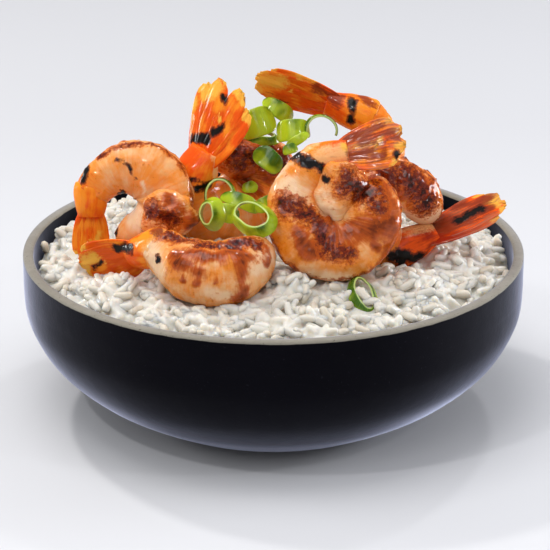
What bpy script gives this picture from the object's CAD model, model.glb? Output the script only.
import math
import random

import bpy
import numpy as np
from mathutils import Euler, Matrix, Vector, noise
from mathutils.bvhtree import BVHTree


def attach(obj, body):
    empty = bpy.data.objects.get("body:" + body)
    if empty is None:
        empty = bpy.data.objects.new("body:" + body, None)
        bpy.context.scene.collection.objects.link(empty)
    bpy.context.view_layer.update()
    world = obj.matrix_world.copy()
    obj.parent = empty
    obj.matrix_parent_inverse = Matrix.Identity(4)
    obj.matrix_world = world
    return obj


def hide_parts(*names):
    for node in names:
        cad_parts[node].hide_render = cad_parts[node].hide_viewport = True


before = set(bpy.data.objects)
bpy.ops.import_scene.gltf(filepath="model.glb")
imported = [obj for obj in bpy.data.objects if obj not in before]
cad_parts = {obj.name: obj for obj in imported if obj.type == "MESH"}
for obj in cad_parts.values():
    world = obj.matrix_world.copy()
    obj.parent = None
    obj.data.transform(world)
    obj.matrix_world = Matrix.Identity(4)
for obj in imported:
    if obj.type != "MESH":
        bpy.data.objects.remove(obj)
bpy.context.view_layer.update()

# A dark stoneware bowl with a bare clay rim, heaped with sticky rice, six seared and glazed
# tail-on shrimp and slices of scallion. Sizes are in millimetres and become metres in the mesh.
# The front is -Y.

MM = 0.001
TAU = 2 * math.pi


# ---- small helpers --------------------------------------------------------------------------

def clamp(value, low=0.0, high=1.0):
    return max(low, min(high, value))


def mix(a, b, share):
    return a + (b - a) * share


def ease(value, start, end):
    t = clamp((value - start) / (end - start))
    return t * t * (3 - 2 * t)


def eased(points, at):
    """A value on a smooth curve through a row of points, at from 0 to 1."""
    place = clamp(at) * (len(points) - 1)
    k = min(int(place), len(points) - 2)
    t = place - k
    p1, p2 = points[k], points[k + 1]
    p0 = points[max(k - 1, 0)]
    p3 = points[min(k + 2, len(points) - 1)]
    return p1 + (p2 - p0) * 0.5 * t + (p0 * 2 - p1 * 5 + p2 * 4 - p3) * 0.5 * t * t \
        + (p1 * 3 - p0 - p2 * 3 + p3) * 0.5 * t ** 3


def alone(piece=None):
    """Deselects everything and picks this one piece."""
    bpy.ops.object.select_all(action="DESELECT")
    if piece:
        piece.select_set(True)
        bpy.context.view_layer.objects.active = piece


def finish_piece(piece, name, node, material):
    piece.name = name
    piece.data.name = name
    piece.data.materials.clear()
    piece.data.materials.append(material)
    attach(piece, "root")
    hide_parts(node)
    return piece


def close_up(piece, reach=0.004):
    """Merges the seam and the poles of a skin and turns its faces outwards."""
    alone(piece)
    bpy.ops.object.mode_set(mode="EDIT")
    bpy.ops.mesh.select_all(action="SELECT")
    bpy.ops.mesh.remove_doubles(threshold=reach * MM)
    bpy.ops.mesh.normals_make_consistent(inside=False)
    bpy.ops.object.mode_set(mode="OBJECT")
    bpy.ops.object.shade_smooth()
    return piece


def wrap(around, along, place):
    """A grid bent round into a closed skin. place(turn, row) gives a point in mm and its tones."""
    alone()
    bpy.ops.mesh.primitive_grid_add(x_subdivisions=around, y_subdivisions=along, size=2)
    piece = bpy.context.object
    mesh = piece.data
    count = len(mesh.vertices)
    layers = {}
    for k, vertex in enumerate(mesh.vertices):
        turn = (vertex.co.x + 1) / 2
        row = round((vertex.co.y + 1) / 2 * along)
        point, tones = place(turn, row)
        vertex.co = point * MM
        for key, value in tones.items():
            layers.setdefault(key, [0.0] * count)[k] = value
    for key, values in layers.items():
        mesh.attributes.new(key, "FLOAT", "POINT").data.foreach_set("value", values)
    return close_up(piece)


def join_pieces(pieces):
    alone(pieces[0])
    for piece in pieces:
        piece.select_set(True)
    bpy.ops.object.join()
    return bpy.context.object


# ---- nodes of a material --------------------------------------------------------------------

class Finish:
    """A material, with short calls for the nodes that it is made of."""

    def __init__(self, name, **fixed):
        self.material = bpy.data.materials.new(name)
        self.material.use_nodes = True
        self.tree = self.material.node_tree
        self.shader = self.tree.nodes["Principled BSDF"]
        for socket, value in fixed.items():
            self.shader.inputs[socket.replace("_", " ")].default_value = value
        self.coords = self.tree.nodes.new("ShaderNodeTexCoord").outputs["Object"]

    def set(self, socket, value):
        if isinstance(value, bpy.types.NodeSocket):
            self.tree.links.new(value, socket)
        else:
            socket.default_value = value

    def to_shader(self, socket, value):
        self.set(self.shader.inputs[socket], value)

    def tone(self, name):
        node = self.tree.nodes.new("ShaderNodeAttribute")
        node.attribute_name = name
        return node.outputs["Fac"]

    def stretched(self, scale, turn=(0, 0, 0)):
        node = self.tree.nodes.new("ShaderNodeMapping")
        node.inputs["Scale"].default_value = scale
        node.inputs["Rotation"].default_value = turn
        self.set(node.inputs["Vector"], self.coords)
        return node.outputs["Vector"]

    def along_skin(self, scale):
        uv = self.tree.nodes.new("ShaderNodeUVMap")
        node = self.tree.nodes.new("ShaderNodeMapping")
        node.inputs["Scale"].default_value = scale
        self.set(node.inputs["Vector"], uv.outputs["UV"])
        return node.outputs["Vector"]

    def noise(self, size, detail=3.0, vector=None, rough=0.55):
        """Noise whose lumps are size millimetres across."""
        node = self.tree.nodes.new("ShaderNodeTexNoise")
        node.inputs["Scale"].default_value = 1 / (size * MM) if vector is None else size
        node.inputs["Detail"].default_value = detail
        node.inputs["Roughness"].default_value = rough
        self.set(node.inputs["Vector"], self.coords if vector is None else vector)
        return node.outputs["Fac"]

    def cells(self, size):
        node = self.tree.nodes.new("ShaderNodeTexVoronoi")
        node.inputs["Scale"].default_value = 1 / (size * MM)
        self.set(node.inputs["Vector"], self.coords)
        return node.outputs["Distance"]

    def math(self, kind, a, b=0.0, c=0.0, clip=False):
        node = self.tree.nodes.new("ShaderNodeMath")
        node.operation = kind
        node.use_clamp = clip
        for socket, value in zip(node.inputs, (a, b, c)):
            self.set(socket, value)
        return node.outputs["Value"]

    def sum(self, first, *shares):
        """A value with shares of others added to it."""
        for value, share in shares:
            first = self.math("MULTIPLY_ADD", value, share, first)
        return first

    def step(self, value, start, end, low=0.0, high=1.0):
        node = self.tree.nodes.new("ShaderNodeMapRange")
        node.interpolation_type = "SMOOTHSTEP"
        for socket, number in zip(node.inputs, (value, start, end, low, high)):
            self.set(socket, number)
        return node.outputs["Result"]

    def blend(self, a, b, share):
        node = self.tree.nodes.new("ShaderNodeMix")
        node.data_type = "RGBA"
        self.set(node.inputs["Factor"], share)
        for socket, value in ((node.inputs[6], a), (node.inputs[7], b)):
            self.set(socket, value if isinstance(value, bpy.types.NodeSocket) else (*value, 1))
        return node.outputs[2]

    def bump(self, height, depth, strength=1.0):
        """Relief of depth millimetres, on top of any relief already there."""
        node = self.tree.nodes.new("ShaderNodeBump")
        node.inputs["Distance"].default_value = depth * MM
        self.set(node.inputs["Strength"], strength)
        self.set(node.inputs["Height"], height)
        before = self.shader.inputs["Normal"]
        if before.is_linked:
            self.set(node.inputs["Normal"], before.links[0].from_socket)
        self.set(before, node.outputs["Normal"])


# ---- finishes -------------------------------------------------------------------------------

def stoneware():
    """Matte near-black glaze that stops just short of the rim, where the clay is bare."""
    f = Finish("stoneware", Specular_IOR_Level=0.04, Sheen_Weight=1.0, Sheen_Roughness=0.27,
               Sheen_Tint=(0.72, 0.76, 1.0, 1.0))
    height = f.tree.nodes.new("ShaderNodeSeparateXYZ")
    f.set(height.inputs[0], f.coords)
    edge = f.math("ADD", height.outputs["Z"], f.math("MULTIPLY", f.noise(9.0), 0.0007))
    bare = f.step(edge, 0.05145, 0.05175)
    glaze = f.blend((0.0005, 0.0004, 0.0016), (0.0012, 0.0010, 0.0034), f.noise(22.0, 4.0))
    glaze = f.blend(glaze, (0.008, 0.0078, 0.012), f.step(f.noise(0.7, 1.0), 0.68, 0.80))
    clay = f.blend((0.215, 0.197, 0.160), (0.30, 0.28, 0.235), f.noise(3.0, 4.0))
    clay = f.blend(clay, (0.14, 0.12, 0.095), f.step(f.noise(0.8, 2.0), 0.62, 0.74))
    f.to_shader("Base Color", f.blend(glaze, clay, bare))
    matte = f.step(f.noise(6.0, 3.0), 0.2, 0.8, 0.46, 0.56)
    f.to_shader("Roughness", f.step(bare, 0.0, 1.0, matte, 0.82))
    f.bump(f.noise(0.6, 2.0), 0.02)
    f.bump(f.noise(4.0, 2.0), 0.05)
    return f.material


def boiled_rice(name, soak, reach, shade):
    """Moist white rice, creamy in its depths. Each grain has its own tone."""
    f = Finish(name, Subsurface_Weight=soak, Subsurface_Scale=reach,
               Subsurface_Radius=(1.0, 0.85, 0.65), IOR=1.42, Specular_IOR_Level=0.3,
               Coat_Weight=0.25, Coat_Roughness=0.14)
    white = tuple(channel * shade for channel in (0.71, 0.69, 0.635))
    cream = tuple(channel * shade for channel in (0.71, 0.645, 0.54))
    tone = f.math("MULTIPLY_ADD", f.noise(1.6, 2.0), 0.5, f.tone("tone"))
    f.to_shader("Base Color", f.blend(white, cream, f.step(tone, 0.45, 1.3)))
    f.to_shader("Roughness", f.step(f.noise(0.9, 2.0), 0.3, 0.7, 0.22, 0.45))
    f.bump(f.noise(2.0, 2.0), 0.05)
    return f.material


def seared_flesh():
    """Shrimp flesh from cream to orange under an amber glaze, browned and charred by its tones."""
    f = Finish("seared_shrimp", Subsurface_Weight=0.2, Subsurface_Scale=0.003,
               Subsurface_Radius=(1.0, 0.36, 0.12), IOR=1.45, Specular_IOR_Level=0.0,
               Coat_Weight=0.6, Coat_Roughness=0.04)
    fine = f.math("SUBTRACT", f.noise(0.7, 4.0), 0.5)
    mottle = f.math("SUBTRACT", f.noise(1.5, 4.0, rough=0.65), 0.5)
    broad = f.math("SUBTRACT", f.noise(4.5, 3.0), 0.5)
    fibres = f.math("SUBTRACT", f.noise(1.0, 4.0, f.along_skin((5.0, 60.0, 1.0))), 0.5)
    # flesh
    warm = f.sum(f.tone("orange"), (broad, 1.1), (fibres, 0.7))
    flesh = f.blend((0.82, 0.445, 0.20), (0.84, 0.26, 0.032), f.step(warm, 0.05, 0.7))
    flesh = f.blend(flesh, (0.84, 0.155, 0.010), f.step(warm, 0.7, 1.2))
    pale = f.sum(f.tone("pale"), (fibres, 0.9), (broad, 0.5))
    flesh = f.blend(flesh, (0.89, 0.60, 0.37), f.step(pale, 0.3, 0.8, 0.0, 0.9))
    # a thin amber glaze over most of it, thick and dark where it has pooled
    veil = f.sum(f.tone("veil"), (broad, 1.3), (mottle, 0.9), (f.tone("pale"), -0.35))
    color = f.blend(flesh, (0.74, 0.215, 0.012), f.step(veil, 0.25, 0.95, 0.0, 0.85))
    amber = f.sum(f.tone("glaze"), (broad, 0.9), (fibres, 0.6))
    sauced = f.blend((0.44, 0.070, 0.006), (0.10, 0.010, 0.003), f.step(amber, 0.6, 1.1))
    color = f.blend(color, sauced, f.step(amber, 0.3, 0.7, 0.0, 0.95))
    # browned crust: toffee at its edge, mottled dark red-brown within, with black cracks
    crust = f.sum(f.tone("brown"), (mottle, 1.2), (fine, 0.7), (broad, 0.8), (fibres, 0.5))
    color = f.blend(color, (0.50, 0.085, 0.005), f.step(crust, 0.2, 0.5, 0.0, 0.85))
    color = f.blend(color, (0.19, 0.020, 0.005), f.step(crust, 0.48, 0.84))
    color = f.blend(color, (0.040, 0.008, 0.004), f.step(crust, 0.86, 1.10))
    flecks = f.math("MULTIPLY", f.step(f.math("ABSOLUTE", mottle), 0.035, 0.0), f.step(crust, 0.4, 0.6))
    color = f.blend(color, (0.020, 0.007, 0.005), f.math("MULTIPLY", flecks, 0.8))
    burnt = f.sum(f.tone("char"), (fine, 0.4), (mottle, 0.3))
    black = f.step(burnt, 0.58, 0.68)
    color = f.blend(color, (0.16, 0.030, 0.008), f.step(burnt, 0.40, 0.58, 0.0, 0.9))
    color = f.blend(color, (0.008, 0.006, 0.006), black)
    f.to_shader("Base Color", color)
    rough = f.step(mottle, -0.2, 0.2, 0.22, 0.42)
    rough = f.step(f.tone("glaze"), 0.3, 0.7, rough, 0.12)
    f.to_shader("Roughness", f.step(black, 0.0, 1.0, rough, 0.5))
    f.bump(fibres, 0.25)
    f.bump(mottle, 0.6, f.step(f.tone("brown"), 0.2, 0.7, 0.35, 1.0))
    f.bump(fine, 0.15, f.step(f.tone("char"), 0.3, 0.7, 0.35, 1.0))
    return f.material


def tail_shell():
    """The thin shell of a tail: orange to red with pale tips, dark streaks and char."""
    f = Finish("tail_shell", Subsurface_Weight=0.12, Subsurface_Scale=0.002,
               Subsurface_Radius=(1.0, 0.35, 0.1), IOR=1.5, Specular_IOR_Level=0.0,
               Coat_Weight=0.3, Coat_Roughness=0.13)
    streaks = f.math("SUBTRACT", f.noise(1.0, 3.0, f.along_skin((22.0, 2.0, 1.0))), 0.5)
    broad = f.math("SUBTRACT", f.noise(4.5, 3.0), 0.5)
    fine = f.math("SUBTRACT", f.noise(0.7, 3.0), 0.5)
    heat = f.sum(f.tone("red"), (streaks, 0.9), (broad, 1.0))
    color = f.blend((0.90, 0.27, 0.018), (0.78, 0.090, 0.006), f.step(heat, 0.05, 0.6))
    color = f.blend(color, (0.30, 0.018, 0.004), f.step(heat, 0.75, 1.25))
    pale = f.sum(f.tone("pale"), (streaks, 0.6), (fine, 0.5))
    color = f.blend(color, (0.90, 0.52, 0.22), f.step(pale, 0.4, 0.85, 0.0, 0.8))
    tip = f.sum(f.tone("yellow"), (fine, 0.7), (streaks, 0.8))
    color = f.blend(color, (0.90, 0.46, 0.06), f.step(tip, 0.3, 0.8, 0.0, 0.92))
    dull = f.sum(f.tone("dull"), (streaks, 1.3), (broad, 0.6))
    color = f.blend(color, (0.38, 0.125, 0.060), f.step(dull, 0.25, 0.75, 0.0, 0.85))
    brown = f.sum(f.tone("brown"), (streaks, 1.2), (fine, 0.5))
    color = f.blend(color, (0.24, 0.032, 0.010), f.step(brown, 0.3, 0.75, 0.0, 0.9))
    burnt = f.sum(f.tone("char"), (fine, 0.4), (broad, 0.4), (streaks, 0.25))
    color = f.blend(color, (0.13, 0.020, 0.008), f.step(burnt, 0.36, 0.58, 0.0, 0.9))
    color = f.blend(color, (0.009, 0.007, 0.006), f.step(burnt, 0.58, 0.70))
    f.to_shader("Base Color", color)
    f.to_shader("Roughness", f.step(fine, -0.2, 0.2, 0.16, 0.36))
    f.bump(streaks, 0.16)
    f.bump(fine, 0.10)
    return f.material


def scallion_leaf():
    """Fresh leaf: glossy green skin with fine veins, paler inside, and pale where it is cut."""
    f = Finish("scallion_leaf", Subsurface_Weight=0.1, Subsurface_Scale=0.001,
               Subsurface_Radius=(0.5, 1.0, 0.2), IOR=1.45, Specular_IOR_Level=0.0,
               Coat_Weight=0.8, Coat_Roughness=0.12)
    veins = f.noise(1.0, 2.0, f.along_skin((1.5, 1.0, 1.0)))
    lines = f.noise(1.0, 2.0, f.along_skin((2.0, 70.0, 1.0)))
    broad = f.noise(3.5, 2.0)
    fresh = f.math("MULTIPLY_ADD", f.math("SUBTRACT", broad, 0.5), 0.9, f.tone("bright"))
    skin = f.blend((0.040, 0.115, 0.005), (0.40, 0.54, 0.016), f.step(fresh, 0.05, 1.0))
    skin = f.blend(skin, (0.38, 0.58, 0.06), f.step(lines, 0.52, 0.80, 0.0, 0.5))
    inner = f.blend((0.20, 0.34, 0.03), (0.56, 0.66, 0.22), f.step(veins, 0.3, 0.7))
    color = f.blend(skin, inner, f.tone("inner"))
    color = f.blend(color, (0.56, 0.66, 0.24), f.step(f.tone("cut"), 0.5, 0.9, 0.0, 0.7))
    f.to_shader("Base Color", color)
    f.to_shader("Roughness", f.step(f.noise(1.2, 2.0), 0.3, 0.7, 0.18, 0.36))
    f.bump(lines, 0.05)
    return f.material


def pale_floor():
    f = Finish("pale_floor")
    depth = f.tree.nodes.new("ShaderNodeSeparateXYZ")
    f.set(depth.inputs[0], f.coords)
    shade = f.sum(f.step(depth.outputs["Y"], -0.12, 0.35), (f.noise(400.0, 2.0), 0.1))
    color = f.blend((0.695, 0.70, 0.735), (0.56, 0.565, 0.595), shade)
    f.to_shader("Base Color", color)
    f.to_shader("Roughness", f.step(f.noise(300.0), 0.2, 0.8, 0.85, 0.9))
    return f.material


STONEWARE = stoneware()
LOOSE_RICE = boiled_rice("boiled_rice", 0.6, 0.0012, 0.96)
PACKED_RICE = boiled_rice("packed_rice", 1.0, 0.0034, 1.0)
FLESH = seared_flesh()
SHELL = tail_shell()
LEAF = scallion_leaf()


# ---- bowl -----------------------------------------------------------------------------------

RADIUS, HEIGHT, WALL, FLOOR = 80.0, 52.0, 3.4, 5.0
FOOT, RECESS, RING = 44.3, 1.2, 5.0
BELLY = [(44.3, 0), (54, 5.2), (63.6, 11.4), (73.3, 20.8), (79, 32), (80, 42)]


def inner_radius(z):
    depth = (HEIGHT - z) / (HEIGHT - FLOOR)
    return (RADIUS - WALL) * math.sqrt(max(0.0, 1 - depth ** 3))


def rounded_lip():
    """The rim from outside to inside, a soft flat top with rounded edges."""
    middle, half = RADIUS - WALL / 2, WALL / 2
    steps = []
    for k in range(13):
        angle = math.pi * k / 12
        across = math.copysign(abs(math.cos(angle)) ** 0.55, math.cos(angle))
        steps.append((middle + half * across, HEIGHT - 1.0 + 1.0 * math.sin(angle) ** 0.6))
    return steps


def bowl_profile():
    belly = [Vector(p) for p in BELLY]
    profile = [(0.02, RECESS), (FOOT - RING - 2, RECESS), (FOOT - RING, RECESS)]
    profile += [(FOOT - RING + 1.0, 0.25), (FOOT - RING + 1.5, 0), (FOOT - 0.4, 0)]
    for k in range(1, 45):
        r, z = eased(belly, k / 44)
        profile.append((min(r, RADIUS), z))
    profile += [(RADIUS, 45), (RADIUS, 48), (RADIUS, 50)]
    profile += rounded_lip()
    profile += [(RADIUS - WALL, z) for z in (50, 48, 46)]
    profile += [(inner_radius(z), z) for z in (42, 38, 33, 28, 22, 16, 11, 8, 6, 5.2)]
    return profile + [(0.02, FLOOR)]


def make_bowl():
    """A circle drawn up ring by ring along the profile, shut by its two smallest rings."""
    profile = bowl_profile()
    radius, height = profile[0]
    alone()
    bpy.ops.mesh.primitive_circle_add(vertices=160, radius=radius * MM, location=(0, 0, height * MM))
    bowl = bpy.context.object
    alone(bowl)
    bpy.ops.object.transform_apply(location=True)
    bpy.ops.object.mode_set(mode="EDIT")
    bpy.ops.mesh.select_all(action="SELECT")
    for r, z in profile[1:]:
        bpy.ops.mesh.extrude_region_move(TRANSFORM_OT_translate={"value": (0, 0, (z - height) * MM)})
        grow = r / radius
        bpy.ops.transform.resize(value=(grow, grow, 1), center_override=(0, 0, z * MM))
        radius, height = r, z
    bpy.ops.object.mode_set(mode="OBJECT")
    close_up(bowl, 0.05)
    bpy.ops.object.shade_smooth_by_angle(angle=math.radians(50))
    finish_piece(bowl, "bowl_body", "bowl", STONEWARE)


make_bowl()


# ---- rice -----------------------------------------------------------------------------------

WALL_LEVEL, LOW_SIDE, MOUND = 46.3, 1.4, 9.0
GRAIN = (3.2, 1.42, 1.32)
CLUMPS = [(-45, -18, 9, 2.6), (-48, -41, 9, 11), (-22, -59, 8, 4), (5, -43, 8, 9), (10, -61, 8, 4),
          (47, -44, 8, 2.5), (56, -16, 9, 1.6), (-62, -14, 9, 5), (46, -33, 8, 4), (60, -20, 8, 4), (60, 10, 8, 1.6), (40, 55, 11, 2.0),
          (-40, 52, 12, 2.2), (0, 58, 10, 1.8), (-60, 25, 9, 1.6)]


def rice_level(x, y):
    r = math.hypot(x, y) / (RADIUS - WALL)
    back_left = (y - x) / (math.sqrt(2) * RADIUS)
    level = WALL_LEVEL - LOW_SIDE * back_left + MOUND * (1 - min(1, r) ** 2.2)
    for cx, cy, reach, rise in CLUMPS:
        level += 0.55 * rise * math.exp(-((x - cx) ** 2 + (y - cy) ** 2) / (0.45 * reach ** 2))
    return level + 1.2 * noise.noise(Vector((x, y, 3)) / 16) + clump_rise(x, y, 13, 4.8) + clump_rise(x, y, 6, 1.5)


def clump_rise(x, y, size, rise):
    """Round clumps of grains with creases between them."""
    away = noise.voronoi(Vector((x, y, size)) / size)[0][0] / 0.8
    return rise * (math.sqrt(max(0.0, 1 - away ** 2)) - 0.65)


def rice_skin(rows, top_rows, sink, low_floor):
    """A closed skin whose top lies sink below the rice's level and whose side runs to low_floor."""
    reach = RADIUS - WALL - 1.2

    def place(turn, row):
        angle = TAU * turn
        if row <= top_rows:
            r = reach * row / top_rows
            x, y = r * math.cos(angle), r * math.sin(angle)
            return Vector((x, y, rice_level(x, y) - sink)), {"tone": 0.6}
        down = (row - top_rows) / (rows - top_rows)
        z = mix(WALL_LEVEL - 4, low_floor, down)
        r = (inner_radius(z) - 1.0) * (0 if row == rows else 1)
        return Vector((r * math.cos(angle), r * math.sin(angle), z)), {"tone": 0.6}

    return wrap(120, rows, place)


def make_rice_core():
    """The rice that nobody sees, down to the bottom of the bowl."""
    core = rice_skin(40, 28, 4.5, FLOOR + 0.7)
    finish_piece(core, "rice_core", "rice", PACKED_RICE)


def model_grain():
    """One grain with blunt ends, from a sphere of few faces laid along X."""
    alone()
    bpy.ops.mesh.primitive_uv_sphere_add(segments=7, ring_count=6, radius=1)
    grain = bpy.context.object
    half_length, half_width, half_height = GRAIN
    points = []
    for vertex in grain.data.vertices:
        across, upward, ring = vertex.co
        along = math.copysign(abs(ring) ** 0.72, ring) if abs(ring) < 0.99 else ring
        reach = max(1e-6, math.hypot(across, upward))
        girth = (1 - abs(along) ** 3) ** (1 / 3) if abs(along) < 1 else 0.0
        points.append((along * half_length, across / reach * girth * half_width,
                       upward / reach * girth * half_height))
    faces = [tuple(face.vertices) for face in grain.data.polygons]
    bpy.data.objects.remove(grain)
    return np.array(points), faces


def join_grains(name, shape, spots):
    """Joins many grains, each turned and placed by its own spot, into one mesh."""
    points, faces = shape
    count = len(points)
    all_points, all_faces, tones = [], [], []
    for k, (where, turn, size, bend, tone) in enumerate(spots):
        bent = points * size
        bent[:, 2] += bend * (points[:, 0] ** 2) / 10
        turned = bent @ np.array(turn).T + np.array(where)
        all_points.append(turned)
        all_faces += [tuple(k * count + i for i in face) for face in faces]
        tones += [tone] * count
    mesh = bpy.data.meshes.new(name)
    mesh.from_pydata((np.concatenate(all_points) * MM).tolist(), [], all_faces)
    mesh.attributes.new("tone", "FLOAT", "POINT").data.foreach_set("value", tones)
    piece = bpy.data.objects.new(name, mesh)
    bpy.context.collection.objects.link(piece)
    alone(piece)
    bpy.ops.object.shade_smooth()
    return piece


def keep_side(piece, place, facing):
    """Cuts a closed piece with a plane, keeps the part behind it and shuts the cut."""
    alone(piece)
    bpy.ops.object.mode_set(mode="EDIT")
    bpy.ops.mesh.select_all(action="SELECT")
    bpy.ops.mesh.bisect(plane_co=Vector(place) * MM, plane_no=facing, use_fill=True, clear_outer=True)
    bpy.ops.object.mode_set(mode="OBJECT")


def make_packed_rice(shape, spots):
    """The grains that stick together: melted into one skin and cut flat below."""
    mound = join_pieces([join_grains("stuck", shape, spots), rice_skin(40, 34, 0.8, 40.0)])
    melt = mound.modifiers.new("melt", "REMESH")
    melt.mode = "VOXEL"
    melt.voxel_size = 0.5 * MM
    soften = mound.modifiers.new("soften", "SMOOTH")
    soften.factor, soften.iterations = 0.5, 2
    thin = mound.modifiers.new("thin", "DECIMATE")
    thin.ratio = 0.5
    alone(mound)
    bpy.ops.object.modifier_apply(modifier="melt")
    bpy.ops.object.modifier_apply(modifier="soften")
    keep_side(mound, (0, 0, 42.5), (0, 0, -1))
    alone(mound)
    bpy.ops.object.modifier_apply(modifier="thin")
    tones = []
    for vertex in mound.data.vertices:
        x, y, z = vertex.co / MM
        depth = rice_level(x, y) - z
        tones.append(0.3 + 0.3 * depth + 0.3 * noise.noise(Vector((x, y, z)) / 3))
    mound.data.attributes.new("tone", "FLOAT", "POINT").data.foreach_set("value", tones)
    alone(mound)
    bpy.ops.object.shade_smooth()
    finish_piece(mound, "rice_packed", "rice", PACKED_RICE)


def toppings_tree(pieces):
    points, faces = [], []
    for piece in pieces:
        start = len(points)
        points += [vertex.co / MM for vertex in piece.data.vertices]
        faces += [tuple(start + i for i in face.vertices) for face in piece.data.polygons]
    return BVHTree.FromPolygons(points, faces)


def buried(tree, point, clear):
    spot, normal, _, away = tree.find_nearest(point, 30)
    return spot is not None and (away < clear or (point - spot).dot(normal) < 0)


def lay_grains(draw, tree, count, lift, tilt, spread, clear):
    """Spots for one layer of grains, lying every way, kept out of the toppings and the wall."""
    spots = []
    reach = RADIUS - WALL - 2.4
    for k in range(count):
        r = reach * math.sqrt((k + 0.5) / count)
        angle = k * math.pi * (3 - math.sqrt(5)) + draw.uniform(-0.2, 0.2)
        x = r * math.cos(angle) + draw.uniform(-1.4, 1.4)
        y = r * math.sin(angle) + draw.uniform(-1.4, 1.4)
        drift = math.pi * noise.noise(Vector((x, y, 20)) / 10)
        turn = Euler((draw.uniform(0, TAU), draw.gauss(0, tilt), drift + draw.gauss(0, 0.9))).to_matrix()
        where = Vector((x, y, rice_level(x, y) + lift + draw.uniform(-spread, spread)))
        size, bend, tone = draw.uniform(0.84, 1.08), draw.uniform(-0.6, 0.9), draw.random()
        ends = [where + turn @ Vector((side * GRAIN[0], 0, 0)) for side in (-1, 1)]
        if any(math.hypot(p.x, p.y) > RADIUS - WALL - 0.9 for p in [where] + ends):
            continue
        if buried(tree, where, 1.0 + clear) or any(buried(tree, p, clear) for p in ends):
            continue
        spots.append((where, turn, size, bend, tone))
    return spots


def make_rice(toppings):
    """A hidden core, two layers that stick together, and loose grains on top of them."""
    draw = random.Random(5)
    shape = model_grain()
    tree = toppings_tree(toppings)
    make_rice_core()
    stuck = lay_grains(draw, tree, 1200, -0.8, 0.3, 0.4, -0.4)
    stuck += lay_grains(draw, tree, 1150, 0.3, 0.4, 0.5, 0.0)
    make_packed_rice(shape, stuck)
    loose = lay_grains(draw, tree, 900, 0.9, 0.35, 0.4, 0.3)
    finish_piece(join_grains("loose", shape, loose), "rice_grains", "rice", LOOSE_RICE)



# ---- shrimp ---------------------------------------------------------------------------------
# A shrimp lies in a plane. turn swings the side it shows towards +X and lean tips it upwards.
# From base, where the tail joins, the body runs along heading and curls through bend degrees.
# marks are where the seared skin, the char, the sauce and the pale flesh show: each has a kind,
# a radius and a line from one point to another.

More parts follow.
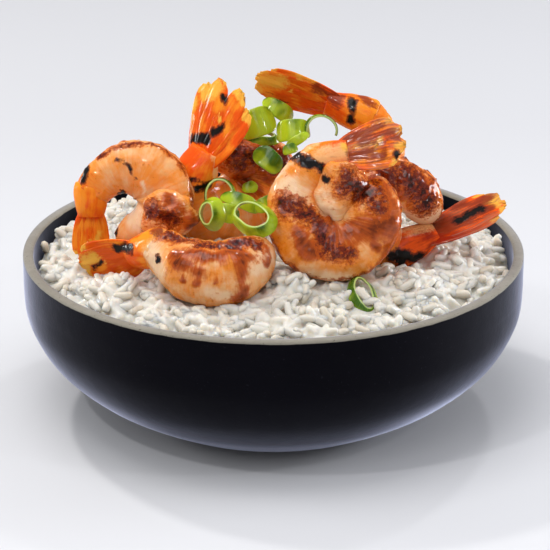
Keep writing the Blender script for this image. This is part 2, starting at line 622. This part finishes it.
SHRIMP = {
    "shrimp_front_right": dict(
        base=(13.7, -27, 90.6), turn=0, lean=18, heading=215, bend=286, tighten=1.22, length=69,
        rise=0, thick=(5, 8.6, 8.4), wide=(4.8, 8.8, 8.2), belly=1.45, warmth=0.42, ember=0.45, sauce=0.2,
        dull=0.45, fold=0.8, split=1,
        tip=(39.7, -31, 99.2), roll=66, spread=13, lump=((21, -33, 82.5), (7.5, 6, 10)),
        marks=[
            ("char", 1.6, (7.5, -28.6, 91.9), (10.6, -32, 91.1)),
            ("char", 1.6, (10.6, -32, 91.1), (14.2, -32, 89.6)),
            ("char", 1.1, (15.1, -34.1, 87.1), (16.3, -36.5, 86.6)),
            ("char", 0.5, (5.4, -27.9, 90.4), (8.2, -27, 93)),
            ("pale", 1.4, (0.5, -28.6, 85.8), (4.5, -30.3, 91.2)),
            ("pale", 1.3, (4.5, -30.2, 91.5), (13, -27.2, 95.6)),
            ("pale", 3.5, (3.9, -34.8, 84.1), (7.5, -36.1, 81.9)),
            ("brown", 2.9, (3.2, -37.9, 80), (10.5, -38.7, 77.1)),
            ("brown", 2.6, (13.6, -39.8, 73.9), (16.6, -42.5, 68.1)),
            ("brown", 2.3, (16.6, -43.1, 67), (22.1, -43.9, 66)),
            ("brown", 3.9, (23.2, -37.9, 87.1), (28.8, -36.3, 82)),
            ("brown", 2.6, (30.7, -33, 84.1), (31.8, -38.7, 79.6)),
            ("pale", 2.6, (16, -37.2, 82.3), (17.9, -36.4, 76.2)),
            ("glaze", 0.8, (34, -33.4, 86.2), (34.6, -37.2, 79.4)),
            ("glaze", 1.3, (29.7, -42, 71.1), (31.3, -41.6, 67.7)),
            ("glaze", 3.9, (23.9, -41.1, 72.1), (34.9, -39.3, 74.7)),
            ("pale", 2.3, (8.2, -40.3, 59.4), (21.9, -42.4, 57.9)),
            ("pale", 2.3, (21.9, -42.4, 57.9), (34, -37, 59.5)),
            ("orange", 3.2, (13.6, -28.1, 95.3), (18.5, -31.8, 92.1)),
            ("glaze", 2.6, (8.1, -42.1, 71.2), (11.7, -43.9, 66.7)),
            ("glaze", 2.6, (34.9, -35.5, 81.7), (36.1, -38.7, 73.5)),
            ("glaze", 2.3, (36.1, -38.7, 73.5), (33.9, -38.2, 64.5)),
            ("brown", 2.6, (23.9, -37.5, 87), (30, -37.8, 81.3)),
            ("glaze", 2.3, (17.3, -37.7, 73.1), (21.8, -43.4, 67.1)),
        ],
        tail_marks=[
            ("pale", 3.0, (14.5, -31, 92.5), (21, -31, 94)),
            ("brown", 2.2, (26, -30, 98), (36, -31, 100)),
            ("brown", 1.6, (23.4, -25.9, 97.1), (32.5, -26.4, 101.2)),
            ("yellow", 1.0, (21.8, -29.7, 95.2), (32.5, -29.6, 97.7)),
            ("char", 1.0, (37.2, -33.5, 94.5), (38.4, -34.5, 93.6)),
            ("yellow", 1.0, (37.1, -26.4, 103.1), (40.7, -27.1, 103.9)),
            ("brown", 1.3, (23.4, -30.4, 92.8), (33.6, -32.3, 94.8)),
        ],
    ),
    "shrimp_front_left": dict(
        base=(-35.3, -39, 66.2), turn=0, lean=55, heading=-49, bend=149, tighten=1.75, length=40,
        rise=0, thick=(6, 8.8, 7.4), wide=(6.4, 10, 8.6), belly=1.3, warmth=0.32, ember=0.4, sauce=0.2,
        dull=0, fold=0.3, split=0,
        tip=(-59.4, -20, 51.6), roll=15, spread=8,
        marks=[
            ("pale", 3.2, (-37.4, -44.7, 67.6), (-34.9, -47.8, 63)),
            ("char", 0.8, (-34.9, -47.2, 66.6), (-34.6, -48, 65.6)),
            ("brown", 2.3, (-35.1, -40.3, 71.2), (-25.2, -44.8, 72.2)),
            ("brown", 2.3, (-25.2, -44.8, 72.2), (-13.7, -47.1, 71.8)),
            ("brown", 2.3, (-13.7, -47.1, 71.8), (-5.2, -47.5, 70.6)),
            ("glaze", 1.9, (-29.3, -50.4, 68.5), (-20.5, -52.8, 68.4)),
            ("glaze", 1.9, (-20.5, -52.8, 68.4), (-7.6, -51.4, 68.2)),
            ("glaze", 2.3, (-9.7, -53.6, 66.5), (-10, -54.1, 57)),
            ("pale", 2.9, (-5.2, -52.1, 64.6), (-1.6, -47.8, 66.9)),
            ("pale", 1.9, (-20.2, -56, 59.1), (-14.3, -55.2, 56.8)),
            ("glaze", 0.8, (-23.2, -53.6, 67.8), (-22.6, -56.4, 61.2)),
            ("glaze", 0.6, (-17.8, -53.1, 67.6), (-17.2, -56.5, 61.8)),
            ("glaze", 0.6, (-27.8, -51.8, 67.7), (-26.9, -54.8, 61.8)),
            ("brown", 1.2, (-22.1, -48, 70.2), (-10, -49.8, 69.6)),
            ("glaze", 1.9, (-28.1, -52.3, 66.6), (-22, -55.5, 64.7)),
            ("glaze", 1.3, (-3.4, -46.3, 69.8), (-2.2, -49.1, 65.4)),
        ],
        tail_marks=[
            ("char", 1.3, (-48.2, -31.4, 62.9), (-43.2, -38, 66.1)),
            ("yellow", 1.6, (-59.2, -21.7, 54.9), (-55.2, -25.1, 57.5)),
            ("char", 0.6, (-56.7, -22, 53), (-52.7, -26.2, 56.6)),
        ],
    ),
    "shrimp_left": dict(
        base=(-57.4, -8, 73.3), turn=0, lean=14, heading=59, bend=-273, tighten=1.28, length=53,
        rise=3, thick=(5.4, 8.6, 7.2), wide=(5.4, 8.8, 7.8), belly=1.2, warmth=0.45, ember=0.3, sauce=-0.3,
        dull=-0.4, fold=0.5, split=1,
        tip=(-57.5, -15, 52.3), roll=75, spread=8, lump=((-33, -21, 69.4), (8.4, 5.5, 8.6)),
        marks=[
            ("char", 0.75, (-48.5, -11.5, 85.7), (-45.3, -13.4, 83.8)),
            ("char", 0.75, (-45.3, -13.4, 83.8), (-42.8, -14.3, 80.1)),
            ("char", 1.0, (-59.3, -11, 77.6), (-57.5, -8.8, 81.5)),
            ("char", 0.9, (-48.5, -10.2, 73.7), (-47.2, -11.1, 75)),
            ("char", 0.75, (-49.9, -16, 66.1), (-49.3, -16.1, 62.8)),
            ("brown", 1.3, (-53.7, -7.6, 85.1), (-44.8, -8.2, 88.9)),
            ("brown", 1.3, (-44.8, -8.2, 88.9), (-34.3, -5.8, 87.1)),
            ("brown", 2.9, (-38.2, -24.4, 72.5), (-31.3, -26.1, 71.1)),
            ("glaze", 2.3, (-32, -23.8, 76.2), (-25.9, -23, 68)),
            ("pale", 0.8, (-40.3, -15.3, 78.5), (-40.1, -15.1, 75.4)),
            ("pale", 2.9, (-45.5, -14, 71.1), (-42.8, -19.2, 67.3)),
            ("orange", 3.9, (-60.6, -10.8, 76.6), (-58.2, -12.7, 67.3)),
            ("char", 1.0, (-59.6, -14.7, 55.6), (-57.2, -14.7, 52.2)),
        ],
        tail_marks=[
            ("char", 1.0, (-59.6, -14.9, 55), (-57.8, -14.9, 52.3)),
            ("yellow", 1.0, (-54.6, -11.8, 61.2), (-57.2, -14.3, 54.1)),
        ],
    ),
    "shrimp_tail_up": dict(
        base=(-26.2, 1, 72.3), turn=40, lean=8, heading=262, bend=204, tighten=0.87, length=53,
        rise=0, thick=(7.4, 9.6, 9.6), wide=(7.4, 9.4, 9.4), belly=1.5, warmth=0.55, ember=0.45, sauce=0,
        dull=-0.3, fold=0.8, split=1,
        tip=(-13, 3, 105), roll=8, spread=19, lump=((-12, 9.2, 78.7), (8.5, 4, 6.5)),
        marks=[
            ("orange", 7.7, (-29.6, -0.1, 79.5), (-19.4, -3.5, 78.3)),
            ("char", 1.0, (-29.6, -1.4, 75.6), (-24.4, -5.6, 73.7)),
            ("char", 1.3, (-22.2, -4.6, 74.1), (-20.3, -4, 74.5)),
            ("char", 0.8, (-25.3, -5.2, 76.6), (-23.2, -5, 75.9)),
            ("pale", 1.6, (-17.1, -2.8, 85.4), (-18.5, -1.8, 77.8)),
            ("brown", 4.5, (-14.3, -3.4, 89.6), (-10.6, 5.6, 80.9)),
            ("brown", 4.5, (-3.7, 18.2, 78.3), (2.8, 14.1, 74.6)),
            ("glaze", 3.5, (-7.5, 6.7, 81.6), (-1.7, 10.4, 73.5)),
            ("pale", 0.8, (-11.1, -5.3, 90.3), (-10, 8.9, 84.5)),
            ("orange", 3.2, (-11.3, 7.7, 70.4), (0.5, 10.9, 67.2)),
            ("glaze", 1.9, (-10.7, 7.1, 73.7), (-4.9, 7, 68.6)),
            ("brown", 1.9, (-13.2, 6.1, 82.4), (-5.6, 7, 78.8)),
        ],
        tail_marks=[
            ("char", 1.5, (-25.2, 6.4, 86.3), (-21.3, 2.2, 87.7)),
            ("char", 1.3, (-18.7, 1.2, 90.1), (-16.2, -0.6, 92.3)),
            ("char", 1.1, (-15.9, 4, 100.8), (-14.9, 3.1, 99.4)),
            ("char", 1.1, (-7.9, -2.4, 102.5), (-5.7, -1.7, 104.2)),
            ("yellow", 2.6, (-21.4, 9.4, 100.7), (-18.1, 7, 102.8)),
            ("yellow", 2.3, (-10.5, 1.9, 105.7), (-7.9, -1.5, 104.8)),
            ("yellow", 1.9, (-27.8, 10.7, 93.6), (-25.9, 11.7, 96)),
        ],
    ),
    "shrimp_back": dict(
        base=(29.7, 16, 90.6), turn=-6, lean=4, heading=-52, bend=-164, tighten=1.19, length=46,
        rise=0, thick=(6, 8.6, 7.8), wide=(6, 8.6, 7.8), belly=1.1, warmth=0.65, ember=0.35, sauce=0.2,
        dull=-0.3, fold=0.8, split=1,
        tip=(-5.5, 22, 100.6), roll=58, spread=6,
        marks=[
            ("orange", 8.4, (22.9, 12.8, 90.3), (32.4, 9.3, 88.1)),
            ("char", 1.4, (25.1, 13.2, 96.2), (25.1, 11.8, 90.6)),
            ("brown", 1.6, (28.3, 16, 96.6), (31.5, 13, 94.9)),
        ],
        tail_marks=[
            ("yellow", 2.6, (-4.3, 21, 101.1), (1.5, 19.2, 100.3)),
            ("char", 0.6, (-1.7, 23.3, 97), (6, 23.8, 92.8)),
            ("brown", 1.7, (13.6, 15.4, 99.5), (21.3, 14.1, 96.6)),
            ("yellow", 1.0, (8.5, 16.1, 103.9), (22.9, 18.1, 99.3)),
        ],
    ),
    "shrimp_right": dict(
        base=(39.2, -17, 57.1), turn=6, lean=10, heading=166, bend=-284, tighten=1.24, length=48,
        rise=-3, thick=(6, 8.2, 7.8), wide=(5.8, 8.4, 7.6), belly=1.1, warmth=0.4, ember=1, sauce=0.15,
        dull=0.45, fold=0.8, split=1,
        tip=(71.9, -10, 71.6), roll=24, spread=8,
        marks=[
            ("brown", 4.5, (36.2, -18.2, 82.8), (43.1, -17.5, 81.2)),
            ("brown", 3.9, (43.1, -18.2, 80.2), (48.1, -18.1, 74.2)),
            ("glaze", 2.3, (38.1, -20.5, 76.4), (45.6, -18.5, 77)),
            ("pale", 3.9, (40.2, -18.3, 67), (49.7, -15, 67.8)),
            ("char", 2.3, (37.6, -22.9, 57.4), (45.3, -20.2, 56.4)),
            ("orange", 3.2, (38.9, -21, 62), (47.1, -20.2, 61)),
            ("glaze", 1.9, (42.5, -16, 83.4), (48.8, -16.3, 76.9)),
        ],
        tail_marks=[
            ("brown", 3.0, (54, -14.6, 63.6), (66, -11.7, 69.0)),
            ("char", 1.9, (58, -13.6, 66.6), (64.5, -11.8, 69.4)),
            ("yellow", 2.4, (69.0, -9.2, 71), (72.5, -9.6, 72.5)),
            ("char", 1.0, (38.9, -22.4, 55.2), (45.2, -22.8, 55.3)),
            ("brown", 1.3, (57.4, -6.3, 67.3), (67.7, -7.3, 71)),
        ],
    ),
}

SEGMENTS = 5
TONES = ("char", "brown", "glaze", "pale", "orange", "yellow")


def lying_plane(s):
    turn, lean = math.radians(s["turn"]), math.radians(s["lean"])
    face = Vector((math.sin(turn) * math.cos(lean), -math.cos(turn) * math.cos(lean), math.sin(lean)))
    right = Vector((math.cos(turn), math.sin(turn), 0))
    return right, face.cross(right), face


def body_line(s, count):
    """Stations along the middle of the body: its place and the way its back faces."""
    right, up, face = lying_plane(s)
    at = Vector(s["base"])
    stations, steps = [], 4
    total = (count - 1) * steps
    side = math.copysign(1, s["bend"])
    for k in range(total + 1):
        share = k / total
        angle = math.radians(s["heading"] + s["bend"] * share ** s["tighten"])
        along = right * math.cos(angle) + up * math.sin(angle)
        back = right * (side * math.sin(angle)) - up * (side * math.cos(angle))
        if k % steps == 0:
            stations.append((share, at + face * (s["rise"] * share ** 2), along, back))
        at = at + along * (s["length"] / total)
    return stations


def fullness(sizes, share):
    tail, middle, head = sizes
    body = mix(mix(tail, middle, ease(share, 0, 0.42)), head, ease(share, 0.6, 1))
    nose = max(0.0, (share - 0.9) / 0.1)
    return body * math.sqrt(1 - 0.8 * nose ** 2)


def wander(p, size, amount):
    q = p / size
    return Vector((noise.noise(q), noise.noise(q + Vector((7, 0, 0))), noise.noise(q + Vector((0, 7, 0))))) \
        * amount


def tones_at(p, marks):
    """How far inside each mark a point is: 1 on its line, 0.6 at its edge and 0 well outside."""
    tones = dict.fromkeys(TONES, 0.0)
    q = p + wander(p, 3.4, 1.0) + wander(p, 1.3, 0.45)
    for kind, radius, start, end in marks:
        a, b = Vector(start), Vector(end)
        line = b - a
        t = clamp((q - a).dot(line) / line.length_squared)
        away = (q - a - line * t).length / radius
        tone = 1 - 0.4 * away if away < 1 else 0.6 * (1 - (away - 1) * radius / (0.9 * radius + 0.8))
        tones[kind] = max(tones[kind], tone)
    return tones


def sear_behind(p, outward, tones):
    """Browned patches where the photo doesn't show the body, as a pan leaves them."""
    unseen = ease(outward.y, 0.1, 0.5)
    patch = ease(noise.noise(p / 8) + 0.5 * noise.noise(p / 3), 0.0, 0.5)
    tones["brown"] = max(tones["brown"], 0.9 * patch * unseen)
    pooled = ease(noise.noise(p / 6 + Vector((3, 3, 3))), 0.1, 0.5)
    tones["glaze"] = max(tones["glaze"], 0.7 * pooled * unseen)


def glazed(p, tones, sauce):
    """The thin glaze over the flesh: uneven, and deeper near the browned skin."""
    tones["veil"] = 0.30 + sauce + 0.5 * noise.noise(p / 9) + 0.5 * tones["brown"] + 0.4 * tones["glaze"]


def crust_relief(p, tones):
    """Crags on the browned skin, bubbles on the char and a smooth build-up of glaze."""
    browned, charred = ease(tones["brown"], 0.3, 0.65), ease(tones["char"], 0.35, 0.65)
    crag = noise.turbulence(p / 2.6, 3, True) - 0.5
    relief = browned * (1.25 * crag + 0.3 * noise.noise(p / 1.1))
    relief += charred * (0.25 + 0.4 * noise.noise(p / 1.1))
    relief += 0.25 * ease(tones["glaze"], 0.3, 0.8)
    return relief + 0.55 * noise.noise(p / 5.5) + 0.22 * noise.noise(p / 2.4)


def split_back(s, p, share, outer, sideways, tones):
    """The cut along the back: a valley between two ragged, browned lips."""
    if outer < 0:
        return 0.0
    opened = ease(share, 0.2, 0.4) * s["split"]
    valley = math.exp(-(sideways / 0.16) ** 2)
    lips = math.exp(-((abs(sideways) - 0.40) / 0.17) ** 2)
    ragged = 0.5 + 0.5 * noise.noise(p / 2.8)
    tones["brown"] = max(tones["brown"], opened * lips * (0.35 + 0.45 * ragged))
    tones["glaze"] = max(tones["glaze"], 0.7 * opened * valley)
    return opened * (0.8 * lips * ragged - 1.3 * valley)


def segment_fold(share, outer):
    """How deep in a crease between two segments a point is."""
    crease = (share * SEGMENTS + 0.25) % 1 - 0.5
    return math.exp(-(crease / 0.06) ** 2) * ease(outer, -0.6, 0.3) * ease(share, 0.02, 0.1)


def make_body(name, s):
    """The peeled body: segment after segment along the curl, closed at the head end."""
    rows, around = 124, 80
    _, _, face = lying_plane(s)
    line = body_line(s, rows - 7)
    seed = Vector((sum(map(ord, name)) % 37, 0, 0))

    def place(turn, row):
        share, at, along, back = line[min(max(row - 1, 0), len(line) - 1)]
        closing, push = 1.0, 0.0
        if row > len(line):
            left = (rows - row) / (rows - len(line))
            closing, push = math.sin(left * math.pi / 2), 0.9 * math.cos(left * math.pi / 2)
        if row in (0, rows):
            closing = 0.0
        angle = TAU * turn
        outer, sideways = math.cos(angle), math.sin(angle)
        ridge = 1 + 0.045 * s["fold"] * math.sin(TAU * SEGMENTS * share)
        tall = fullness(s["thick"], share) * ridge
        wide = fullness(s["wide"], share) * ridge
        inner = s["belly"] if outer < 0 else 1
        outward = (back * (outer * wide) + face * (sideways * tall)).normalized()
        p = at + (back * (tall * inner * outer) + face * (wide * sideways)) * closing + along * push
        tones = tones_at(p, s["marks"])
        sear_behind(p, outward, tones)
        cut = split_back(s, p, share, outer, sideways, tones)
        fold = segment_fold(share, outer) * s["fold"]
        tones["orange"] = max(s["warmth"] + 0.22 * noise.noise(p / 7 + seed), tones["orange"])
        tones["orange"] += 0.35 * ease(share, 0.16, 0.0)
        glazed(p, tones, s["sauce"])
        tones["veil"] += 0.45 * fold
        fibre = noise.noise(Vector((share * s["length"] * 1.3, angle * 1.1, 5)) + seed)
        relief = crust_relief(p + seed, tones) + cut - 0.6 * fold + 0.12 * fibre
        return p + outward * relief * closing, tones

    return wrap(around, rows, place)


def make_lump(s):
    """The half of the split body that folds out, browned and cragged."""
    where, size = Vector(s["lump"][0]), s["lump"][1]
    rows, around = 48, 64

    def place(turn, row):
        angle, tip = TAU * turn, math.pi * row / rows
        way = Vector((math.cos(angle) * math.sin(tip), math.sin(angle) * math.sin(tip), math.cos(tip)))
        p = where + Vector((way.x * size[0], way.y * size[1], way.z * size[2]))
        tones = tones_at(p, s["marks"])
        tones["orange"] = max(tones["orange"], s["warmth"])
        glazed(p, tones, s["sauce"])
        outward = Vector((way.x / size[0], way.y / size[1], way.z / size[2])).normalized()
        sear_behind(p, outward, tones)
        deep = 1.5 * noise.noise(p / 5.5) + 0.7 * noise.noise(p / 2.7)
        return p + outward * (crust_relief(p, tones) + deep), tones

    return wrap(around, rows, place)


def fan_frame(s):
    _, _, face = lying_plane(s)
    out = Vector(s["tip"]) - Vector(s["base"])
    length = out.length
    out.normalize()
    flat = (face - out * face.dot(out)).normalized()
    flat = Matrix.Rotation(math.radians(s["roll"]) + math.pi / 2, 3, out) @ flat
    return length, out, flat, out.cross(flat)


SHELL_SHARE = 0.36


def make_shell(s):
    """The last ring of shell, from its free edge over the flesh to where the fan spreads."""
    length, out, flat, across = fan_frame(s)
    thick = s["thick"][0]
    reach = SHELL_SHARE * length
    steps = [Vector(p) for p in ((-3.2, 0.86, 0.9), (-1.2, 1.02, 1.02), (0.3 * reach, 0.95, 0.98),
                                 (0.62 * reach, 0.78, 0.9), (reach, 0.42, 0.75))]
    rows, around = 34, 48

    def place(turn, row):
        share = clamp((row - 1) / (rows - 2))
        away, high, broad = eased(steps, share)
        angle = TAU * turn
        closing = 0.0 if row in (0, rows) else 1.0
        keel = 1 + 0.10 * math.exp(-((math.cos(angle) - 1) / 0.05) ** 2)
        p = Vector(s["base"]) + out * away
        outward = flat * math.cos(angle) + across * math.sin(angle)
        p += (flat * (high * keel * math.cos(angle)) + across * (broad * math.sin(angle))) * thick * closing
        tones = tones_at(p, s["tail_marks"] + s["marks"])
        tones["dull"] = s["dull"] - 0.3
        tones["red"] = s["ember"] - 0.4 + 0.5 * share + 0.3 * noise.noise(p / 6)
        tones["pale"] = max(tones["pale"], 0.65 * ease(share, 0.12, 0.0), 0.35 + 0.5 * noise.noise(p / 5) - share)
        relief = 0.12 * noise.noise(p / 2.2) + 0.5 * tones["char"] * noise.noise(p / 1.2)
        return p + outward * relief * closing, tones

    return wrap(around, rows, place)


BLADES = [(-1, 0.92, 0.27), (-0.42, 1, 0.29), (0.42, 1, 0.29), (1, 0.92, 0.27), (0, 0.72, 0.16)]


def make_blade(s, side, reach, breadth):
    """One blade of the tail fan: a thin ribbed leaf with a raised middle and a ragged end."""
    length, out, flat, across = fan_frame(s)
    yaw = math.radians(side * s["spread"])
    way = out * math.cos(yaw) + across * math.sin(yaw)
    sideways = across * math.cos(yaw) - out * math.sin(yaw)
    start = SHELL_SHARE * length * 0.55
    root = Vector(s["base"]) + out * start + across * (side * s["thick"][0] * 0.3)
    run = length * reach - start
    rows, around = 44, 40
    widths = [0.5, 0.72, 0.92, 1.0, 0.98, 0.86, 0.62]
    heights = [1.35, 1.2, 1.0, 0.85, 0.72, 0.6, 0.45]
    seed = Vector((side * 9 + 40, reach * 11, 0))

    def place(turn, row):
        share = clamp((row - 1) / (rows - 2))
        angle = TAU * turn
        closing = 0.0 if row in (0, rows) else 1.0
        half = eased(widths, share) * breadth * length * 0.5 * closing
        half *= 1 - 0.35 * ease(share, 0.93, 1.0)
        high = eased(heights, share) * 0.8 * closing
        x = math.cos(angle)
        rise = math.copysign(abs(math.sin(angle)) ** 0.8, math.sin(angle))
        ribs = 0.10 * math.cos(x * 13 + seed.x) + 0.25 * math.exp(-(x / 0.16) ** 2)
        ragged = 0.05 * length * noise.noise(Vector((x * 2.2, 0, 0)) + seed) * ease(share, 0.75, 1.0)
        p = root + way * (run * share + ragged - 0.4 * share) + flat * (abs(side) * 0.6 * share)
        wave = 0.35 * noise.noise(Vector((share * 4, x * 1.5, 2)) + seed)
        p += sideways * (half * x) + flat * (high * (rise * (0.75 + ribs * closing)) + wave * closing)
        tones = tones_at(p, s["tail_marks"])
        tones["yellow"] = max(tones["yellow"], 0.8 * ease(share + 0.12 * noise.noise(p / 3), 0.84, 1.0))
        tones["pale"] = max(tones["pale"], 0.4 * ease(abs(x), 0.85, 1.0))
        tones["dull"] = s["dull"] + 0.3 * noise.noise(p / 6)
        tones["red"] = s["ember"] + 0.5 * noise.noise(p / 7 + seed) + 0.2 * ease(share, 0.6, 0.2)
        return p, tones

    return wrap(around, rows, place)


def make_shrimp():
    made = []
    for name, s in SHRIMP.items():
        body = make_body(name, s)
        if "lump" in s:
            body = join_pieces([body, make_lump(s)])
        made.append(finish_piece(body, name + "_flesh", name, FLESH))
        shell = make_shell(s)
        made.append(finish_piece(shell, name + "_shell", name, SHELL))
        fan = join_pieces([make_blade(s, *blade) for blade in BLADES])
        made.append(finish_piece(fan, name + "_fan", name, SHELL))
    return made


# ---- scallions ------------------------------------------------------------------------------
# A slice is a band cut from the hollow leaf: an oval loop with half axes oval, or arc degrees of
# one about the direction around, band wide and cut on a slant. bright is how yellow-green it is.

SCALLION = {
    "scallion_top_wide": dict(at=(-5.3, 13.5, 89.1), tilt=(20, -20, -90), oval=(6.4, 6.2), band=9.5,
                              arc=165, bright=1.0),
    "scallion_top_back": dict(at=(1.8, 19.9, 91.4), tilt=(-35, -15, -80), oval=(7, 6.4), band=5.5,
                              arc=125, bright=0.7),
    "scallion_top_half": dict(at=(6.1, 8, 88.3), tilt=(8, -25, -95), oval=(5.6, 5.4), band=7,
                              arc=200, bright=0.95),
    "scallion_top_arch": dict(at=(15.2, 6, 90.5), tilt=(62, 0, 12), oval=(5.4, 5), band=2.8,
                              arc=215, around=80, bright=0.4),
    "scallion_top_flat": dict(at=(-6.9, 21.2, 82.5), tilt=(14, 8, 6), oval=(8.6, 4), band=2.2,
                              arc=360, bright=0.5),
    "scallion_top_strip": dict(at=(7.7, 0.6, 87.8), tilt=(30, -10, -88), oval=(4.6, 4.4), band=3,
                               arc=130, bright=1.0),
    "scallion_top_dark": dict(at=(-1.6, 1.5, 80.8), tilt=(-40, -25, -88), oval=(6.8, 6.6), band=7,
                              arc=105, bright=0.15),
    "scallion_top_small": dict(at=(5.3, -3.4, 86.1), tilt=(20, -20, -90), oval=(2.6, 2.4), band=3.4,
                               arc=190, bright=0.5),
    "scallion_mid_arch": dict(at=(-17, -7.6, 73.4), tilt=(60, 0, -6), oval=(5, 5.6), band=3.6,
                              arc=235, around=95, bright=0.4),
    "scallion_mid_square": dict(at=(-7.5, 4.9, 70.3), tilt=(10, -20, -90), oval=(5.2, 5), band=3.8,
                                arc=62, bright=1.0),
    "scallion_mid_long": dict(at=(-10.1, -11.7, 71.2), tilt=(-24, -30, -80), oval=(8.4, 7.4), band=5,
                              arc=125, bright=0.75),
    "scallion_mid_side": dict(at=(-2.3, -13, 71), tilt=(15, -20, -75), oval=(4.2, 4), band=5,
                              arc=130, bright=0.6),
    "scallion_mid_curl": dict(at=(-19.7, -22, 71), tilt=(70, 0, -28), oval=(3.8, 4.6), band=5.2,
                              arc=360, bright=0.85),
    "scallion_mid_leaf": dict(at=(-14.8, -18.3, 69.9), tilt=(-12, -25, -95), oval=(5, 4.6), band=6,
                              arc=140, bright=0.9),
    "scallion_mid_ring": dict(at=(-6.2, -38.6, 76.1), tilt=(46, 12, -32), oval=(7.6, 5.2), band=4.2,
                              arc=360, slant=1.2, bright=0.75),
    "scallion_rice_ring": dict(at=(27.6, -47.4, 53.9), tilt=(28, 0, 9), oval=(4.3, 7.4), band=2.8,
                               arc=360, slant=-1, bright=0.3),
}
LEAF_WALL = 0.8


def slice_middle(s):
    """The middle of the slice's box, measured on a few steps of its arc."""
    steps = max(5, round(s["arc"] / 26))
    corners = []
    for k in range(steps + (0 if s["arc"] >= 360 else 1)):
        angle = math.radians(s.get("around", 0) + s["arc"] * k / steps - s["arc"] / 2)
        low = s.get("slant", 0) * math.cos(angle) - s["band"] / 2
        for inset in (0, LEAF_WALL):
            for z in (low, low + s["band"]):
                corners.append(((s["oval"][0] - inset) * math.cos(angle),
                                (s["oval"][1] - inset) * math.sin(angle), z))
    corners = np.array(corners)
    return Vector((corners.min(0) + corners.max(0)) / 2)


def make_slice(name, s):
    closed = s["arc"] >= 360
    middle = slice_middle(s)
    turn_to = Euler([math.radians(a) for a in s["tilt"]]).to_matrix()
    rows, around = (64, 28)
    half_wall, half_band = LEAF_WALL / 2, s["band"] / 2

    def place(turn, row):
        share = row / rows if closed else clamp((row - 1) / (rows - 2))
        closing = 1.0 if closed or row not in (0, rows) else 0.0
        angle = math.radians(s.get("around", 0) + s["arc"] * share - s["arc"] / 2)
        section = TAU * turn
        flat = math.copysign(abs(math.cos(section)) ** 0.45, math.cos(section))
        tall = math.copysign(abs(math.sin(section)) ** 0.28, math.sin(section))
        wobble = noise.noise(Vector((math.cos(angle), math.sin(angle), s["band"])) * 1.4) if closed \
            else noise.noise(Vector((share * 2.2, s["band"], 1)))
        rounding = 1.0 if closed else math.sqrt(1 - abs(2 * share - 1) ** 3 * 0.97)
        inset = half_wall * (1 - flat * closing)
        length = half_band * tall * closing * rounding
        z = s.get("slant", 0) * math.cos(angle) + length + 0.25 * wobble * tall * closing
        flare = 0.25 * (length / half_band) ** 2 * (1 - abs(flat) * 0.2)
        flare += (0.9 if closed else 0.3) * (length / half_band + 0.3 * math.sin(2 * angle)) + 0.4 * wobble
        p = Vector(((s["oval"][0] - inset - flare) * math.cos(angle),
                    (s["oval"][1] - inset - flare) * math.sin(angle), z))
        tones = {
            "cut": ease(abs(tall), 0.93, 1.0) * ease(abs(flat), 0.95, 0.6),
            "inner": ease(-flat, 0.2, 0.8),
            "bright": s["bright"] + 0.7 * noise.noise((p + Vector((9, 9, 9)) * s["band"]) / 3.5) - 0.4 * tall * max(0, flat),
        }
        return turn_to @ (p - middle) + Vector(s["at"]), tones

    leaf = wrap(around, rows, place)
    return finish_piece(leaf, name + "_leaf", name, LEAF)


toppings = make_shrimp() + [make_slice(name, s) for name, s in SCALLION.items()]
make_rice(toppings)


# ---- floor, light and camera ----------------------------------------------------------------

def make_floor():
    alone()
    bpy.ops.mesh.primitive_plane_add(size=6, location=(0, 0, -0.0002))
    floor = bpy.context.object
    floor.name = "floor"
    floor.data.materials.append(pale_floor())


def aim(thing, at):
    thing.rotation_euler = (Vector(at) - thing.location).to_track_quat("-Z", "Y").to_euler()


def soft_light(name, place, size, power, color=(1, 1, 1)):
    bpy.ops.object.light_add(type="AREA", location=place)
    light = bpy.context.object
    light.name = name
    light.data.shape = "RECTANGLE"
    light.data.size, light.data.size_y = size
    light.data.energy = power
    light.data.color = color
    aim(light, (0, 0, 0.05))


def make_lights():
    soft_light("overhead", (-0.2, -0.15, 1.25), (0.8, 0.8), 6.4, (1.0, 0.985, 0.96))
    soft_light("key", (-0.42, 0.40, 0.80), (0.07, 0.06), 2.4, (1.0, 0.975, 0.94))
    soft_light("glint", (0.30, 0.50, 0.75), (0.06, 0.06), 1.0)
    soft_light("front_glint", (-0.45, -0.55, 0.80), (0.04, 0.04), 1.4)
    soft_light("side_glint", (0.55, -0.40, 0.55), (0.035, 0.035), 0.5)
    soft_light("front_fill", (-0.3, -1.2, 1.3), (1.2, 0.9), 5.0)
    soft_light("right_box", (0.85, 0.30, 0.16), (0.45, 0.26), 6.5, (0.93, 0.95, 1.0))
    soft_light("left_strip", (-0.95, 0.42, 0.16), (0.12, 0.4), 4.0)
    world = bpy.data.worlds.new("studio")
    bpy.context.scene.world = world
    world.use_nodes = True
    world.node_tree.nodes["Background"].inputs["Color"].default_value = (0.97, 0.98, 1.0, 1)
    world.node_tree.nodes["Background"].inputs["Strength"].default_value = 0.42


def make_camera():
    look_at = Vector((0.51, 0, 42.1)) * MM
    elevation, distance = math.radians(21.26), 0.9
    away = Vector((0, -math.cos(elevation), math.sin(elevation)))
    bpy.ops.object.camera_add(location=look_at + away * distance,
                              rotation=(math.pi / 2 - elevation, 0, 0))
    camera = bpy.context.object
    camera.data.sensor_width = 36
    camera.data.lens = 36 * 2799.1 / 550
    camera.data.clip_start = 0.01
    camera.data.clip_end = 20
    bpy.context.scene.camera = camera


make_floor()
make_lights()
make_camera()
bpy.context.scene.view_settings.view_transform = "Standard"
